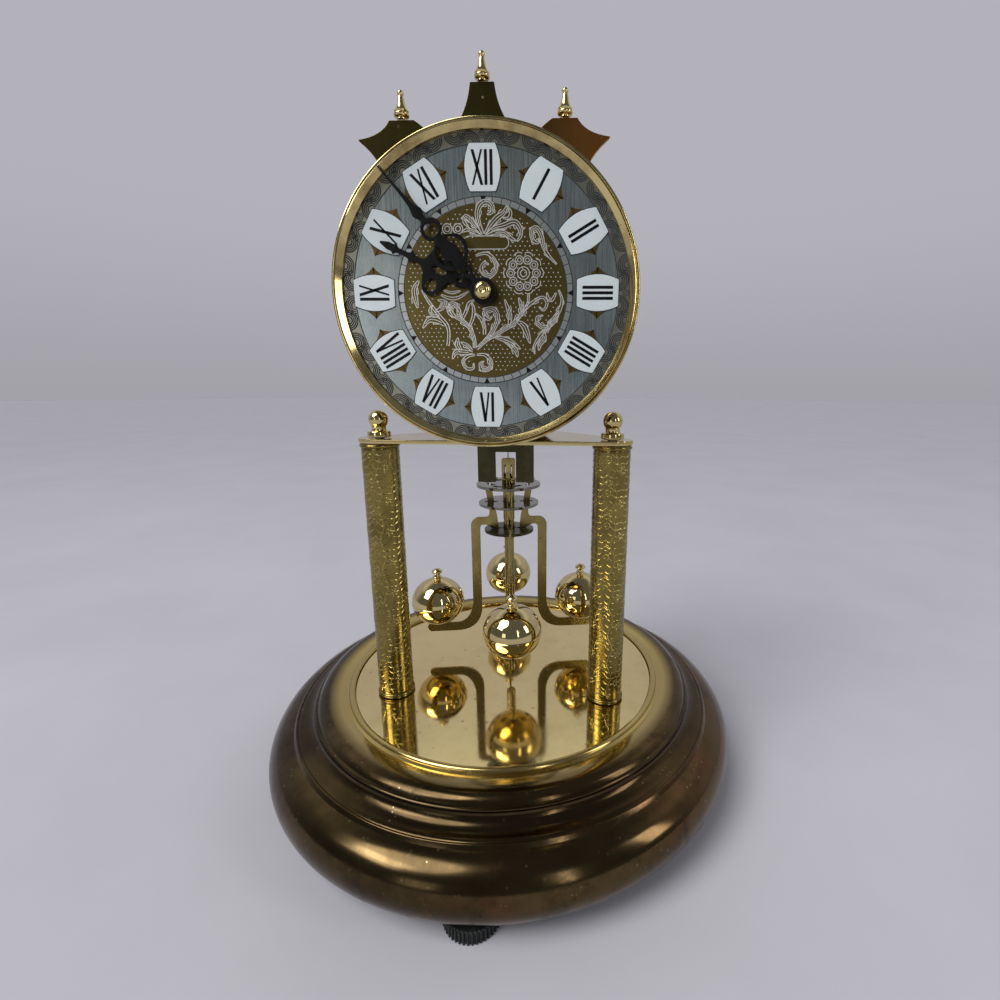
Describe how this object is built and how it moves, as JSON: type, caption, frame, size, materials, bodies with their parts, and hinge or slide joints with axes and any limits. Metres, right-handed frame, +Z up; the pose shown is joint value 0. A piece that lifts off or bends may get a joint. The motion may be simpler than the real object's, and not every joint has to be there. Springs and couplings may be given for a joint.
{
  "type": "torsion pendulum clock",
  "caption": "Anniversary clock with a round moulded base, engraved pillars, a round dial with a crowned back plate and a torsion pendulum of balls",
  "frame": {"origin": "on the table under the centre of the round base", "axes": "+Z up, the dial faces -Y, +X to the viewer's right"},
  "size_m": [0.1952, 0.1952, 0.2565],
  "materials": {
    "polished": "polished and lacquered, lightly spotted",
    "brass": "satin, engraved on the pillars",
    "gear": "fine turned",
    "bronze": "tarnished and lacquered",
    "dark_brass": "dull, tarnished",
    "silver": "silvered, fine brushed",
    "nickel": "nickelled, polished",
    "steel": "plain ground steel",
    "dark": "blackened, knurled",
    "black": "black lacquer"
  },
  "bodies": {
    "case": {"base_shell": "bronze", "floor_plate": "steel", "mirror_plate": "polished", "pillar_left": "brass", "pillar_right": "brass", "tie_rod_left": "steel", "tie_rod_right": "steel", "ball_nut_left": "polished", "ball_nut_right": "polished", "platform": "polished", "front_plate": "brass", "back_plate": "brass", "post_lower_left": "brass", "post_lower_right": "brass", "post_upper_left": "brass", "post_upper_right": "brass", "dial": "silver", "bezel": "polished", "crown_plate": "bronze", "spire_left": "polished", "spire_centre": "polished", "spire_right": "polished", "suspension_bracket": "brass", "top_block": "brass", "suspension_ribbon": "steel", "guard_bracket": "dark_brass", "click_spring": "steel"},
    "foot_front": {"levelling_foot_front": "dark"},
    "foot_right": {"levelling_foot_right": "dark"},
    "foot_left": {"levelling_foot_left": "dark"},
    "minute": {"centre_wheel": "gear", "cannon_pinion": "steel", "minute_hand": "black", "hand_nut": "polished"},
    "hour": {"hour_wheel": "gear", "hour_hand": "black"},
    "motion": {"minute_wheel": "gear"},
    "third": {"third_wheel": "gear"},
    "second": {"second_wheel": "gear"},
    "going_barrel": {"barrel": "brass"},
    "fourth": {"fourth_wheel": "gear"},
    "escape": {"escape_wheel": "gear"},
    "pallets": {"anchor": "steel"},
    "winding": {"winding_arbor": "steel"},
    "ratchet_click": {"click": "steel"},
    "crutch_fork": {"fork": "brass"},
    "pendulum": {"pendulum_rod": "brass", "bottom_block": "brass", "middle_disc": "nickel", "lower_disc": "dark_brass"},
    "regulator": {"regulating_disc": "nickel"},
    "carrier_1": {"arm_1": "brass", "ball_1": "polished"},
    "carrier_2": {"arm_2": "brass", "ball_2": "polished"},
    "carrier_3": {"arm_3": "brass", "ball_3": "polished"},
    "carrier_4": {"arm_4": "brass", "ball_4": "polished"}
  },
  "joints": [
    {"name": "minute_turn", "type": "hinge", "parent": "case", "child": "minute", "pos_m": [0, 0, 0.1887], "axis": [0, 1, 0], "continuous": true},
    {"name": "hour_turn", "type": "hinge", "parent": "case", "child": "hour", "pos_m": [0, 0, 0.1887], "axis": [0, 1, 0], "continuous": true},
    {"name": "motion_turn", "type": "hinge", "parent": "case", "child": "motion", "pos_m": [0.00849, 0, 0.18021], "axis": [0, 1, 0], "continuous": true},
    {"name": "third_turn", "type": "hinge", "parent": "case", "child": "third", "pos_m": [-0.01499, 0, 0.18911], "axis": [0, 1, 0], "continuous": true},
    {"name": "second_turn", "type": "hinge", "parent": "case", "child": "second", "pos_m": [-0.0134, 0, 0.1742], "axis": [0, 1, 0], "continuous": true},
    {"name": "barrel_turn", "type": "hinge", "parent": "case", "child": "going_barrel", "pos_m": [0.006, 0, 0.163], "axis": [0, 1, 0], "continuous": true},
    {"name": "fourth_turn", "type": "hinge", "parent": "case", "child": "fourth", "pos_m": [0.0103, 0, 0.20014], "axis": [0, 1, 0], "continuous": true},
    {"name": "escape_turn", "type": "hinge", "parent": "case", "child": "escape", "pos_m": [0, 0, 0.20722], "axis": [0, 1, 0], "continuous": true},
    {"name": "winding_turn", "type": "hinge", "parent": "case", "child": "winding", "pos_m": [0.006, 0, 0.163], "axis": [0, 1, 0], "continuous": true},
    {"name": "click_lift", "type": "hinge", "parent": "case", "child": "ratchet_click", "pos_m": [-0.002, 0, 0.17345], "axis": [0, 1, 0], "range_deg": [-5, 0]},
    {"name": "pallet_rock", "type": "hinge", "parent": "case", "child": "pallets", "pos_m": [0, 0, 0.22042], "axis": [0, 1, 0], "range_deg": [-3, 3]},
    {"name": "fork_turn", "type": "hinge", "parent": "case", "child": "crutch_fork", "pos_m": [0, 0.0172, 0.2272], "axis": [0, 0, 1], "range_deg": [-4, 4]},
    {"name": "pendulum_turn", "type": "hinge", "parent": "case", "child": "pendulum", "pos_m": [0, 0.0172, 0.1], "axis": [0, 0, 1], "range_deg": [-150, 150], "stiffness_Nm_per_rad": 0.000047},
    {"name": "regulator_turn", "type": "hinge", "parent": "pendulum", "child": "regulator", "pos_m": [0, 0.0172, 0.1158], "axis": [0, 0, 1], "range_deg": [-30, 30]},
    {"name": "carrier_1_slide", "type": "slide", "parent": "pendulum", "child": "carrier_1", "axis": [0.9893, 0.1461, 0], "range_m": [-0.0009, 0.0009]},
    {"name": "carrier_2_slide", "type": "slide", "parent": "pendulum", "child": "carrier_2", "axis": [-0.1461, 0.9893, 0], "range_m": [-0.0009, 0.0009]},
    {"name": "carrier_3_slide", "type": "slide", "parent": "pendulum", "child": "carrier_3", "axis": [-0.9893, -0.1461, 0], "range_m": [-0.0009, 0.0009]},
    {"name": "carrier_4_slide", "type": "slide", "parent": "pendulum", "child": "carrier_4", "axis": [0.1461, -0.9893, 0], "range_m": [-0.0009, 0.0009]},
    {"name": "foot_front_screw", "type": "slide", "parent": "case", "child": "foot_front", "axis": [0, 0, -1], "range_m": [0, 0.004]},
    {"name": "foot_right_screw", "type": "slide", "parent": "case", "child": "foot_right", "axis": [0, 0, -1], "range_m": [0, 0.004]},
    {"name": "foot_left_screw", "type": "slide", "parent": "case", "child": "foot_left", "axis": [0, 0, -1], "range_m": [0, 0.004]}
  ],
  "couplings": [
    {"joint": "hour_turn", "follows": "minute_turn", "ratio": 0.083333},
    {"joint": "motion_turn", "follows": "minute_turn", "ratio": -0.33333},
    {"joint": "third_turn", "follows": "minute_turn", "ratio": -0.11111},
    {"joint": "second_turn", "follows": "minute_turn", "ratio": 0.012346},
    {"joint": "barrel_turn", "follows": "minute_turn", "ratio": -0.0020576},
    {"joint": "fourth_turn", "follows": "minute_turn", "ratio": -6},
    {"joint": "escape_turn", "follows": "minute_turn", "ratio": 24},
    {"joint": "fork_turn", "follows": "pendulum_turn", "ratio": 0.025},
    {"joint": "pallet_rock", "follows": "pendulum_turn", "ratio": 0.0181},
    {"joint": "regulator_turn", "follows": "carrier_1_slide", "rad_per_m": 581.78},
    {"joint": "carrier_2_slide", "follows": "carrier_1_slide", "ratio": 1},
    {"joint": "carrier_3_slide", "follows": "carrier_1_slide", "ratio": 1},
    {"joint": "carrier_4_slide", "follows": "carrier_1_slide", "ratio": 1}
  ]
}
